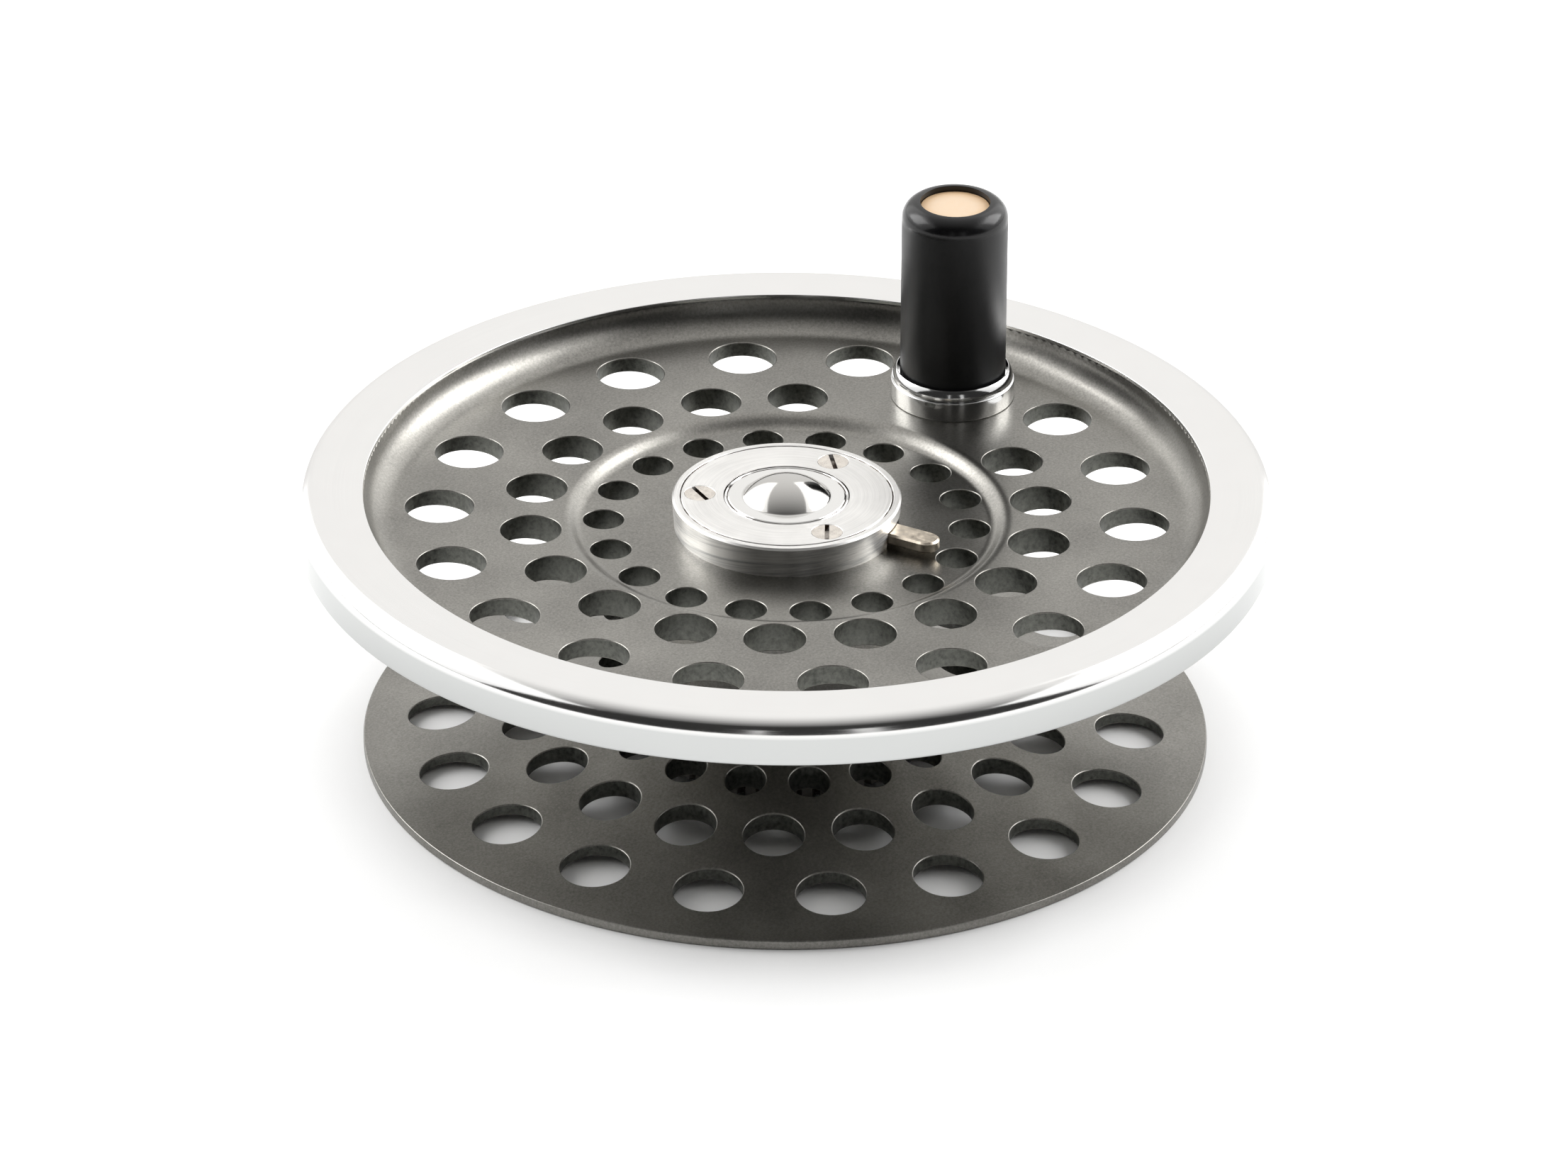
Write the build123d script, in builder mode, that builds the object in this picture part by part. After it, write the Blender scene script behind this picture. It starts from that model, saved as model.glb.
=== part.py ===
"""Fly reel spool: perforated flanges, exposed rim, latch hub and turning handle.

Millimetres.  The origin is on the spool's axis, in the plane of the back flange's
edge.  +Z runs along the axis to the handle side, and the handle stands on +X.
"""
import os
from math import cos, pi, radians, sin

from build123d import *

# ---------------------------------------------------------------- driving sizes
RIM_R = 46.0               # 92 mm over the rim: a 3 5/8 inch reel
FACE_Z = 23.8              # flat front face of the perforated plate
RIM_RISE = 3.2             # rim above that face
RIM_DROP = 1.2             # skirt of the rim below that face
RIM_INNER_R = 39.8
RIM_SEAT_R = 41.0          # the rim ring is pressed on the front flange here
RIM_LIP = 0.35             # thin inner lip of the ring, over the flange's edge
RIM_ROUND = 1.6            # rounded shoulder of the rim
RIM_FOOT_ROUND = 0.3       # rounding along the foot of the rim's skirt
SKIRT_WALL = 1.5
BACK_R = 40.15
BACK_EDGE = 0.93           # thickness of the back flange at its edge
BACK_LAND = 1.25           # flat land under that edge
EDGE_BREAK = 0.12          # small chamfer along turned edges

ARBOR_R = 12.0
ARBOR_TOP_Z = FACE_Z - 4.2
ARBOR_BOTTOM_Z = FACE_Z - 17.41
GEAR_SEAT_Z = FACE_Z - 20.9
GEAR_SEAT_R = 14.8
# middle points of the flanges' hollow sweeps: radius, height
FRONT_LINE_SIDE = (26.0, FACE_Z - 2.35)
BACK_LINE_SIDE = (26.1, FACE_Z - 21.2)
BACK_UNDERSIDE = (26.0, FACE_Z - 22.62)

RECESS_R = 20.65           # round recess about the hub
RECESS_DEPTH = 0.94
RECESS_SLOPE = 1.15        # width of the recess's sloped wall
RECESS_ROUND = 0.4         # rounding along the recess's rim
FLOOR_Z = FACE_Z - RECESS_DEPTH

# perforations: ring radius, hole radius, first angle, places left out at the handle
HOLE_COUNT = 18
HOLE_STEP = 360 / HOLE_COUNT
OUTER_RING = (32.75, 3.25, 0.0, (0,))
MIDDLE_RING = (24.2, 2.87, 10.0, (0, 17))
INNER_RING = (17.26, 1.92, 0.0, ())

SPINDLE_R = 3.2            # reel spindle that the spool turns on, with its bore
SLEEVE_R = 5.0
SLEEVE_BORE_R = 3.5
BUSH_R = 4.2
BUSH_LENGTH = 4.0
SLEEVE_BACK_Z = 0.6

GEAR_TEETH = 48
GEAR_R = 13.6
GEAR_THICK = 2.0
TOOTH_DEPTH_SIDE = 1.3     # slanted flank of a gap between teeth
TOOTH_GAP = 0.8            # share of the pitch that the gap takes at the rim
TOOTH_CUT_OUT = 0.1        # middle of the cutting triangle, outside the gear's rim
GEAR_SCREW_PCD_R = 9.3
GEAR_SCREWS = 4
GEAR_SCREW_START = 45
GEAR_SCREW_SLOTS = (15.0, 80.0, 130.0, 40.0)
GEAR_SCREW_HEAD_R = 1.45
GEAR_SCREW_LENGTH = 7.5
GEAR_THREAD_DEPTH = 4.5

COVER_R = 10.8             # at the lip; the side tapers in to the foot
COVER_FOOT_R = 10.6
COVER_TOP_Z = FACE_Z + 2.1
COVER_BEVEL = 0.18
COVER_WALL = 1.1
COVER_ROOF = 1.0           # thickness of its top
COVER_BOSS_R = 2.0         # bosses for the three screws
COVER_SCREW_PCD_R = 8.17
COVER_SCREW_HEAD_R = 1.46
COVER_SCREW_SLOTS = (42.0, 61.0, 32.0)   # each slot's direction, degrees
GROOVE_R = 10.0            # fine turned line on the cover
GROOVE_HALF = 0.12         # half its width
GROOVE_DEPTH = 0.1
CAP_R = 5.95               # polished cap set in the cover
CAP_SEAT = 0.45            # depth of its seat
CAP_GAP = 0.03             # narrow turned gap round it
CAP_LEDGE = 0.75           # width of the ledge that it sits on
CAP_SUNK = 0.02            # its flat lies this far below the cover
CAP_BORE_R = 3.7           # hollow over the spindle's end
DOME_BORE_R = 2.6
CAP_GROOVE_R = 5.59        # turned line near its edge
CAP_GROOVE_DEPTH = 0.12
CAP_BEAD = 0.15            # width of the bevels beside that line
DOME_SHELL = 0.7           # thickness at the crown
DOME_R = 4.1
DOME_RISE = 1.8
DOME_FOOT_ROUND = 0.35

COVER_SCREW_LENGTH = 5.5
COVER_SCREW_DEPTH = 2.7    # its thread in the front flange
HUB_SCREW_PCD_R = 7.0
HUB_SCREW_LENGTH = 7.0
HUB_PLATE = 3.4            # front flange under the hub
HUB_THREAD_DEPTH = 5.0
HUB_SCREW_HEAD_R = 1.35
HUB_SCREW_ANGLES = (30, 150, 270)
HUB_SCREW_SLOTS = (0.0, 60.0, 120.0)
SHANK_R = 0.78
THREAD_R = 0.8             # threaded holes
SINK_GAP = 0.05            # countersinks are this much wider than the heads
SCREW_SUNK = 0.02          # heads lie this far below the surface
SLOT_WIDTH = 0.42
SLOT_DEPTH = 0.4
SCREW_POINT = 0.3          # bevel at the end of a shank
THIRDS = (0, 120, 240)

LEVER_PIVOT = (1.3, 7.3)
LEVER_ANGLE = -87.0
LEVER_LENGTH = 22.55       # pivot to tip
LEVER_WIDTH = 2.45
LEVER_TOP_Z = FACE_Z + 0.6
LEVER_THICK = 1.1
LEVER_SWING = 10.5         # degrees, to free the spindle
SWING_STEPS = 5            # places of the lever that the cover's slot is cut from
LEVER_EYE_R = 1.9          # lever's end round the pivot
LEVER_HUB_R = 4.2          # crescent of the lever round the spindle
LEVER_CUT_X = 0.7          # it is cut away on the far side of this line
LEVER_SLOT_GAP = 0.12      # clearance of the cover's side slot, each way
LEVER_TIP_BEVEL = 0.18
PIN_R = 0.8                # pivot pin, and its depth in the plate
PIN_DEPTH = 2.1
PIN_HEAD_R = 1.3
PIN_HEAD_THICK = 0.4
PIN_WASHER_R = 1.7
SPRING_WIRE = 0.25
SPRING_INSET = 0.1         # strip's clearance above and below, in the lever's thickness
SPRING_LEG_ANGLES = (-22, -35, -50)      # the leg that lies along the cover's wall
SPRING_BEND_END = (4.9, -7.2)
SPRING_TIP = (3.42, -4.7)
GROOVE_CORE_R = 2.4        # spindle's groove, with clearance
RUN = 0.05                 # radial running clearance
PLATE_CUT = 6.0            # depth of a cut that goes through the front flange

HANDLE_X = 29.72
GRIP_R = 5.085
GRIP_SHOULDER = 1.7
GRIP_HEEL = 0.5            # rounding at the grip's foot
GRIP_MOUTH_R = 3.35
PLUG_RECESS = 0.55
PLUG_THICK = 0.75
PLUG_BEVEL = 0.08
PLUG_GAP = 0.02
COLLAR_R = 5.96
COLLAR_STEP_R = 5.82
COLLAR_GROOVE_R = 5.77     # fine groove below its rounded shoulder
COLLAR_INNER_R = 5.36
COLLAR_LIP = 0.08          # flat left at the top of the shoulder
POST_R = 2.0
SHOULDER_R = 3.4
THRUST_WASHER_R = 4.3
LINER_R = 2.9
TENON_R = 2.4              # post's foot, through the plate
RIVET_R = 3.0              # foot riveted over on the line side
GRIP_WASHER_R = 3.2
GRIP_SCREW_R = 0.9
GRIP_SCREW_HEAD_R = 1.9
GRIP_SCREW_HEAD = 1.0
GRIP_SCREW_LENGTH = 5.0
WASHER_THICK = 0.3
# heights along the handle, above the plate's face
RIVET_DEPTH = 1.75
RIVET_NECK = -1.05
COLLAR_FLOOR = 0.9
SHOULDER_TOP = 1.2
COLLAR_STEP_H = 1.95
GRIP_FOOT = 1.55
COLLAR_H = 3.05
POST_TOP = 17.25
GRIP_TOP = 20.67

os.makedirs("parts", exist_ok=True)

# Profiles of the handle are (radius, height above the plate's face) about its own axis.
handle_plane = Plane(origin=(HANDLE_X, 0, FACE_Z), x_dir=(1, 0, 0), z_dir=(0, -1, 0))
handle_axis = Axis((HANDLE_X, 0, FACE_Z), (0, 0, 1))


def polar(radius, angle):
    """Point at a radius and an angle in degrees about the spool's axis."""
    return (radius * cos(radians(angle)), radius * sin(radians(angle)))


def ring_points(ring):
    """Hole centres of one perforation ring, without the places left out."""
    radius, _, first, omitted = ring
    places = [n for n in range(HOLE_COUNT) if n not in omitted]
    return [polar(radius, first + n * HOLE_STEP) for n in places]


def all_holes():
    """Draw every perforation in the open sketch."""
    for ring in (OUTER_RING, MIDDLE_RING, INNER_RING):
        with Locations(*ring_points(ring)):
            Circle(ring[1])


def corner_mid(outer_r, top, radius):
    """Middle point of a quarter round on an outer top corner of a turned profile."""
    inset = radius * (1 - sin(radians(45)))
    return (outer_r - inset, top - inset)


def save(part, name):
    part.label = name
    export_step(part, f"parts/{name}.step")


def save_ring(name, centre, outer_r, inner_r, base_z, height):
    """Write a plain ring, washer or bush that stands on base_z."""
    with BuildPart() as ring:
        with BuildSketch(Plane.XY.offset(base_z)):
            with Locations(centre):
                Circle(outer_r)
                Circle(inner_r, mode=Mode.SUBTRACT)
        extrude(amount=height)
    save(ring.part, name)


# ------------------------------------------------------------- front flange
# Matte plate with a hub recess, and a hollow sweep up to the rim.
SWEEP_R = RIM_RISE
sweep_foot_r = RIM_INNER_R - SWEEP_R
edge_z = FACE_Z + RIM_RISE - RIM_LIP
edge_r = sweep_foot_r + (SWEEP_R ** 2 - RIM_LIP ** 2) ** 0.5
sweep_mid = (
    sweep_foot_r + SWEEP_R * sin(radians(45)),
    FACE_Z + SWEEP_R - SWEEP_R * cos(radians(45)),
)
with BuildPart() as front_flange:
    with BuildSketch(Plane.XZ):
        with BuildLine():
            Polyline((SLEEVE_R, ARBOR_TOP_Z), (SLEEVE_R, FLOOR_Z), (RECESS_R - RECESS_SLOPE, FLOOR_Z))
            Line((RECESS_R - RECESS_SLOPE, FLOOR_Z), (RECESS_R, FACE_Z))
            Line((RECESS_R, FACE_Z), (sweep_foot_r, FACE_Z))
            ThreePointArc((sweep_foot_r, FACE_Z), sweep_mid, (edge_r, edge_z))
            Polyline((edge_r, edge_z), (RIM_SEAT_R, edge_z), (RIM_SEAT_R, FACE_Z - RIM_DROP))
            ThreePointArc((RIM_SEAT_R, FACE_Z - RIM_DROP), FRONT_LINE_SIDE, (ARBOR_R, ARBOR_TOP_Z))
            Line((ARBOR_R, ARBOR_TOP_Z), (SLEEVE_R, ARBOR_TOP_Z))
        make_face()
    revolve(axis=Axis.Z)
    recess_lines = front_flange.edges().filter_by(GeomType.CIRCLE)
    fillet(recess_lines.filter_by(lambda e: abs(e.radius - RECESS_R) < 0.01), RECESS_ROUND)
    with BuildSketch(Plane.XY.offset(FACE_Z)):
        all_holes()
    extrude(amount=PLATE_CUT, both=True, mode=Mode.SUBTRACT)
    rims = front_flange.edges().filter_by(GeomType.CIRCLE)
    hole_radii = (OUTER_RING[1], MIDDLE_RING[1], INNER_RING[1])
    top_rims = [
        e for e in rims
        if e.arc_center.Z > FLOOR_Z - 0.01 and min(abs(e.radius - r) for r in hole_radii) < 0.01
    ]
    chamfer(top_rims, EDGE_BREAK)
    # countersunk hub screws, cover screws, latch pivot and the handle's tenon
    with Locations(*[(*polar(HUB_SCREW_PCD_R, a), FLOOR_Z) for a in HUB_SCREW_ANGLES]):
        CounterSinkHole(THREAD_R, HUB_SCREW_HEAD_R + SINK_GAP, counter_sink_angle=90, depth=HUB_PLATE)
    with Locations(*[(*polar(COVER_SCREW_PCD_R, a), FLOOR_Z) for a in THIRDS]):
        Hole(THREAD_R, depth=COVER_SCREW_DEPTH)
    with Locations((*LEVER_PIVOT, FLOOR_Z)):
        Hole(PIN_R, depth=PIN_DEPTH)
    with BuildSketch(Plane.XY.offset(FACE_Z)):
        with Locations((HANDLE_X, 0)):
            Circle(TENON_R)
    extrude(amount=-PLATE_CUT, mode=Mode.SUBTRACT)
    with BuildSketch(handle_plane):
        Polygon(
            (0, -PLATE_CUT),
            (RIVET_R, -PLATE_CUT),
            (RIVET_R, -RIVET_DEPTH),
            (TENON_R, RIVET_NECK),
            (0, RIVET_NECK),
            align=None,
        )
    revolve(axis=handle_axis, mode=Mode.SUBTRACT)
save(front_flange.part, "front_flange")

# ------------------------------------------------------------- polished rim ring
with BuildPart() as rim_ring:
    top_z = FACE_Z + RIM_RISE
    web_z = FACE_Z + RIM_RISE - RIM_ROUND
    skirt_z = FACE_Z - RIM_DROP
    with BuildSketch(Plane.XZ):
        with BuildLine():
            Polyline((RIM_INNER_R, edge_z), (RIM_INNER_R, top_z), (RIM_R - RIM_ROUND, top_z))
            ThreePointArc(
                (RIM_R - RIM_ROUND, top_z),
                corner_mid(RIM_R, top_z, RIM_ROUND),
                (RIM_R, top_z - RIM_ROUND),
            )
            Polyline(
                (RIM_R, top_z - RIM_ROUND),
                (RIM_R, skirt_z),
                (RIM_R - SKIRT_WALL, skirt_z),
                (RIM_R - SKIRT_WALL, web_z),
                (RIM_SEAT_R, web_z),
                (RIM_SEAT_R, edge_z),
                (RIM_INNER_R, edge_z),
            )
        make_face()
    revolve(axis=Axis.Z)
    lower = rim_ring.edges().filter_by(GeomType.CIRCLE).group_by(Axis.Z)[0]
    fillet(lower, RIM_FOOT_ROUND)
save(rim_ring.part, "rim_ring")

# ------------------------------------------------------------- arbor and sleeve
with BuildPart() as arbor:
    with BuildSketch(Plane.XY.offset(ARBOR_BOTTOM_Z)):
        Circle(ARBOR_R)
        Circle(SLEEVE_R, mode=Mode.SUBTRACT)
    extrude(amount=ARBOR_TOP_Z - ARBOR_BOTTOM_Z)
    with Locations(*[(*polar(HUB_SCREW_PCD_R, a), ARBOR_TOP_Z) for a in HUB_SCREW_ANGLES]):
        Hole(THREAD_R, depth=HUB_THREAD_DEPTH)
    with BuildSketch(Plane.XY.offset(ARBOR_BOTTOM_Z)):
        with PolarLocations(GEAR_SCREW_PCD_R, GEAR_SCREWS, start_angle=GEAR_SCREW_START):
            Circle(THREAD_R)
    extrude(amount=GEAR_THREAD_DEPTH, mode=Mode.SUBTRACT)
save(arbor.part, "arbor")

with BuildPart() as spindle_sleeve:
    with BuildSketch(Plane.XY.offset(SLEEVE_BACK_Z)):
        Circle(SLEEVE_R)
        Circle(SLEEVE_BORE_R, mode=Mode.SUBTRACT)
    extrude(amount=FLOOR_Z - SLEEVE_BACK_Z)
    with BuildSketch(Plane.XY.offset(SLEEVE_BACK_Z)):
        Circle(BUSH_R)
    extrude(amount=BUSH_LENGTH, mode=Mode.SUBTRACT)
    with BuildSketch(Plane.XY.offset(FLOOR_Z - BUSH_LENGTH)):
        Circle(BUSH_R)
    extrude(amount=BUSH_LENGTH, mode=Mode.SUBTRACT)
save(spindle_sleeve.part, "spindle_sleeve")

for bush_name, bush_z in (("rear_bush", SLEEVE_BACK_Z), ("front_bush", FLOOR_Z - BUSH_LENGTH)):
    save_ring(bush_name, (0, 0), BUSH_R, SPINDLE_R, bush_z, BUSH_LENGTH)

# ------------------------------------------------------------- back flange
land_r = BACK_R - BACK_LAND
with BuildPart() as back_flange:
    with BuildSketch(Plane.XZ):
        with BuildLine():
            Polyline((SLEEVE_R, GEAR_SEAT_Z), (SLEEVE_R, ARBOR_BOTTOM_Z), (ARBOR_R, ARBOR_BOTTOM_Z))
            ThreePointArc((ARBOR_R, ARBOR_BOTTOM_Z), BACK_LINE_SIDE, (BACK_R, BACK_EDGE))
            Polyline((BACK_R, BACK_EDGE), (BACK_R, 0), (land_r, 0))
            ThreePointArc((land_r, 0), BACK_UNDERSIDE, (GEAR_SEAT_R, GEAR_SEAT_Z))
            Line((GEAR_SEAT_R, GEAR_SEAT_Z), (SLEEVE_R, GEAR_SEAT_Z))
        make_face()
    revolve(axis=Axis.Z)
    edge_lines = back_flange.edges().filter_by(GeomType.CIRCLE)
    chamfer(edge_lines.filter_by(lambda e: abs(e.radius - BACK_R) < 0.01), EDGE_BREAK)
    with BuildSketch():
        all_holes()
        with Locations((OUTER_RING[0], 0)):
            Circle(OUTER_RING[1])
        with Locations(polar(MIDDLE_RING[0], HOLE_STEP / 2), polar(MIDDLE_RING[0], -HOLE_STEP / 2)):
            Circle(MIDDLE_RING[1])
        with PolarLocations(GEAR_SCREW_PCD_R, GEAR_SCREWS, start_angle=GEAR_SCREW_START):
            Circle(THREAD_R)
    extrude(amount=2 * ARBOR_BOTTOM_Z, mode=Mode.SUBTRACT)
save(back_flange.part, "back_flange")

# ------------------------------------------------------------- check gear
gear_back_z = GEAR_SEAT_Z - GEAR_THICK
tooth_pitch = 2 * pi * GEAR_R / GEAR_TEETH
with BuildPart() as check_gear:
    with BuildSketch(Plane.XY.offset(gear_back_z)):
        Circle(GEAR_R)
        Circle(SLEEVE_R, mode=Mode.SUBTRACT)
        with PolarLocations(GEAR_R, GEAR_TEETH):
            with Locations((TOOTH_CUT_OUT, 0)):
                Triangle(
                    a=tooth_pitch * TOOTH_GAP,
                    b=TOOTH_DEPTH_SIDE,
                    c=TOOTH_DEPTH_SIDE,
                    rotation=90,
                    mode=Mode.SUBTRACT,
                )
    extrude(amount=GEAR_THICK)
    with Locations(Plane.XY.offset(gear_back_z) * Rot(180, 0, 0)):
        with PolarLocations(GEAR_SCREW_PCD_R, GEAR_SCREWS, start_angle=GEAR_SCREW_START):
            CounterSinkHole(
                THREAD_R, GEAR_SCREW_HEAD_R + SINK_GAP, depth=GEAR_THICK, counter_sink_angle=90
            )
save(check_gear.part, "check_gear")

# ------------------------------------------------------------- countersunk screws
def screw(head_r, length, slot_angle):
    """Slotted screw with a 90 degree flat head: its face at Z = 0, its shank down -Z."""
    with BuildPart() as body:
        with BuildSketch(Plane.XZ):
            with BuildLine():
                Polyline(
                    (0, 0),
                    (head_r, 0),
                    (SHANK_R, SHANK_R - head_r),
                    (SHANK_R, SCREW_POINT - length),
                    (SHANK_R - SCREW_POINT, -length),
                    (0, -length),
                    (0, 0),
                )
            make_face()
        revolve(axis=Axis.Z)
        with BuildSketch():
            Rectangle(3 * head_r, SLOT_WIDTH, rotation=slot_angle)
        extrude(amount=-SLOT_DEPTH, mode=Mode.SUBTRACT)
    return body.part


def screw_set(name, places, slots, head_r, length, face_down=False):
    """Write one node that holds a separate screw at each place."""
    turn = Rot(180, 0, 0) if face_down else Rot(0, 0, 0)
    screws = [Pos(*p) * turn * screw(head_r, length, s) for p, s in zip(places, slots)]
    save(Compound(children=screws), name)


# ------------------------------------------------------------- latch cover
cover_inner_r = COVER_R - COVER_WALL
cover_ceiling_z = COVER_TOP_Z - COVER_ROOF
cap_seat_z = COVER_TOP_Z - CAP_SEAT
slot_roof_z = LEVER_TOP_Z + LEVER_SLOT_GAP


def lever_bar(width, angle):
    """Straight bar of the lever, from the pivot to the round tip, in the open sketch."""
    reach = LEVER_LENGTH - width / 2
    along = polar(1.0, angle)
    mid = (LEVER_PIVOT[0] + along[0] * reach / 2, LEVER_PIVOT[1] + along[1] * reach / 2)
    tip = (LEVER_PIVOT[0] + along[0] * reach, LEVER_PIVOT[1] + along[1] * reach)
    with Locations(mid):
        Rectangle(reach, width, rotation=angle)
    with Locations(tip):
        Circle(width / 2)


with BuildPart() as latch_cover:
    with BuildSketch(Plane.XZ):
        with BuildLine():
            Polyline(
                (0, COVER_TOP_Z),
                (GROOVE_R - GROOVE_HALF, COVER_TOP_Z),
                (GROOVE_R, COVER_TOP_Z - GROOVE_DEPTH),
                (GROOVE_R + GROOVE_HALF, COVER_TOP_Z),
                (COVER_R - COVER_BEVEL, COVER_TOP_Z),
                (COVER_R, COVER_TOP_Z - COVER_BEVEL),
                (COVER_FOOT_R, FLOOR_Z),
                (cover_inner_r, FLOOR_Z),
                (cover_inner_r, cover_ceiling_z),
                (0, cover_ceiling_z),
                (0, COVER_TOP_Z),
            )
        make_face()
    revolve(axis=Axis.Z)
    boss_places = [polar(COVER_SCREW_PCD_R, a) for a in THIRDS]
    with BuildSketch(Plane.XY.offset(FLOOR_Z)):
        with Locations(*boss_places):
            Circle(COVER_BOSS_R)
    extrude(amount=cover_ceiling_z - FLOOR_Z)
    # seat of the polished cap, with a narrow turned gap round it
    with BuildSketch(Plane.XY.offset(cover_ceiling_z)):
        Circle(CAP_R - CAP_LEDGE)
    extrude(amount=COVER_ROOF, mode=Mode.SUBTRACT)
    with BuildSketch(Plane.XY.offset(cap_seat_z)):
        Circle(CAP_R)
    extrude(amount=CAP_SEAT, mode=Mode.SUBTRACT)
    with Locations(*[(*p, COVER_TOP_Z) for p in boss_places]):
        CounterSinkHole(
            THREAD_R + RUN, COVER_SCREW_HEAD_R + SINK_GAP, counter_sink_angle=90
        )
    # side slot that the lever swings in
    with BuildSketch(Plane.XY.offset(FLOOR_Z)):
        for step in range(SWING_STEPS + 1):
            lever_bar(LEVER_WIDTH + 2 * LEVER_SLOT_GAP, LEVER_ANGLE + step * LEVER_SWING / SWING_STEPS)
        Circle(cover_inner_r - COVER_WALL / 2, mode=Mode.SUBTRACT)
    extrude(amount=slot_roof_z - FLOOR_Z, mode=Mode.SUBTRACT)
save(latch_cover.part, "latch_cover")

# ------------------------------------------------------------- polished cap
cap_flat_z = COVER_TOP_Z - CAP_SUNK
cap_edge_z = COVER_TOP_Z - CAP_GROOVE_DEPTH
cap_edge_r = CAP_R - CAP_GAP
dome_ball_r = (DOME_R ** 2 + DOME_RISE ** 2) / (2 * DOME_RISE)
dome_mid_r = DOME_R / 2
dome_top_z = COVER_TOP_Z + DOME_RISE
dome_mid_z = dome_top_z - dome_ball_r + (dome_ball_r ** 2 - dome_mid_r ** 2) ** 0.5
with BuildPart() as dome_cap:
    with BuildSketch(Plane.XZ):
        with BuildLine():
            Polyline(
                (CAP_BORE_R, cap_seat_z),
                (cap_edge_r, cap_seat_z),
                (cap_edge_r, cap_edge_z),
                (cap_edge_r - CAP_BEAD, cap_flat_z),
                (CAP_GROOVE_R, cap_edge_z),
                (CAP_GROOVE_R - CAP_BEAD, cap_flat_z),
                (DOME_R, cap_flat_z),
            )
            ThreePointArc((DOME_R, cap_flat_z), (dome_mid_r, dome_mid_z), (0, dome_top_z))
            Polyline(
                (0, dome_top_z),
                (0, dome_top_z - DOME_SHELL),
                (DOME_BORE_R, COVER_TOP_Z + DOME_RISE / 3),
                (CAP_BORE_R, cap_seat_z),
            )
        make_face()
    revolve(axis=Axis.Z)
    foot_lines = dome_cap.edges().filter_by(GeomType.CIRCLE)
    foot = [e for e in foot_lines if abs(e.radius - DOME_R) < 0.01]
    fillet(foot, DOME_FOOT_ROUND)
save(dome_cap.part, "dome_cap")

# ------------------------------------------------------------- latch lever
lever_bottom_z = LEVER_TOP_Z - LEVER_THICK
swing = radians(LEVER_SWING)
px, py = LEVER_PIVOT
freed = (
    px - px * cos(swing) - py * sin(swing),
    py + px * sin(swing) - py * cos(swing),
)
with BuildPart() as latch_lever:
    with BuildSketch(Plane.XY.offset(lever_bottom_z)):
        lever_bar(LEVER_WIDTH, LEVER_ANGLE)
        with Locations(LEVER_PIVOT):
            Circle(LEVER_EYE_R)
        Circle(LEVER_HUB_R)
        with Locations((LEVER_CUT_X - LEVER_HUB_R, 0)):
            Rectangle(2 * LEVER_HUB_R, 2 * LEVER_HUB_R, mode=Mode.SUBTRACT)
        Circle(GROOVE_CORE_R, mode=Mode.SUBTRACT)
        with Locations(freed):
            Circle(SPINDLE_R + RUN, mode=Mode.SUBTRACT)
        with Locations(LEVER_PIVOT):
            Circle(PIN_R + RUN, mode=Mode.SUBTRACT)
    extrude(amount=LEVER_THICK)
    lever_ends = latch_lever.edges().filter_by(GeomType.CIRCLE)
    tip_lines = [e for e in lever_ends if e.arc_center.Y < -COVER_R]
    chamfer(tip_lines, LEVER_TIP_BEVEL)
save(latch_lever.part, "latch_lever")

washer_height = lever_bottom_z - FLOOR_Z - SCREW_SUNK
save_ring("latch_washer", LEVER_PIVOT, PIN_WASHER_R, PIN_R + RUN, FLOOR_Z, washer_height)

pin_head_z = LEVER_TOP_Z + RUN
with BuildPart() as latch_pin:
    with BuildSketch(Plane.XY.offset(FLOOR_Z - PIN_DEPTH)):
        with Locations(LEVER_PIVOT):
            Circle(PIN_R)
    extrude(amount=pin_head_z - FLOOR_Z + PIN_DEPTH)
    with BuildSketch(Plane.XY.offset(pin_head_z)):
        with Locations(LEVER_PIVOT):
            Circle(PIN_HEAD_R)
    extrude(amount=PIN_HEAD_THICK)
save(latch_pin.part, "latch_pin")

# Hairpin spring: one leg along the cover's wall, the other against the lever.
wall_leg_r = cover_inner_r - SPRING_WIRE / 2 - SCREW_SUNK
with BuildPart() as latch_spring:
    with BuildSketch(Plane.XY.offset(lever_bottom_z + SPRING_INSET)):
        with BuildLine():
            wall_leg = ThreePointArc(*[polar(wall_leg_r, a) for a in SPRING_LEG_ANGLES])
            bend = TangentArc(wall_leg @ 1, SPRING_BEND_END, tangent=wall_leg % 1)
            Line(bend @ 1, SPRING_TIP)
        trace(line_width=SPRING_WIRE)
    extrude(amount=LEVER_THICK - 2 * SPRING_INSET)
save(latch_spring.part, "latch_spring")

# ------------------------------------------------------------- screws of the hub and back
cover_places = [(*polar(COVER_SCREW_PCD_R, a), COVER_TOP_Z - SCREW_SUNK) for a in THIRDS]
screw_set("cover_screws", cover_places, COVER_SCREW_SLOTS, COVER_SCREW_HEAD_R, COVER_SCREW_LENGTH)
hub_places = [(*polar(HUB_SCREW_PCD_R, a), FLOOR_Z - SCREW_SUNK) for a in HUB_SCREW_ANGLES]
screw_set("hub_screws", hub_places, HUB_SCREW_SLOTS, HUB_SCREW_HEAD_R, HUB_SCREW_LENGTH)
gear_angles = [GEAR_SCREW_START + n * 360 / GEAR_SCREWS for n in range(GEAR_SCREWS)]
gear_places = [(*polar(GEAR_SCREW_PCD_R, a), gear_back_z + SCREW_SUNK) for a in gear_angles]
screw_set(
    "gear_screws", gear_places, GEAR_SCREW_SLOTS, GEAR_SCREW_HEAD_R, GEAR_SCREW_LENGTH, face_down=True
)

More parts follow.
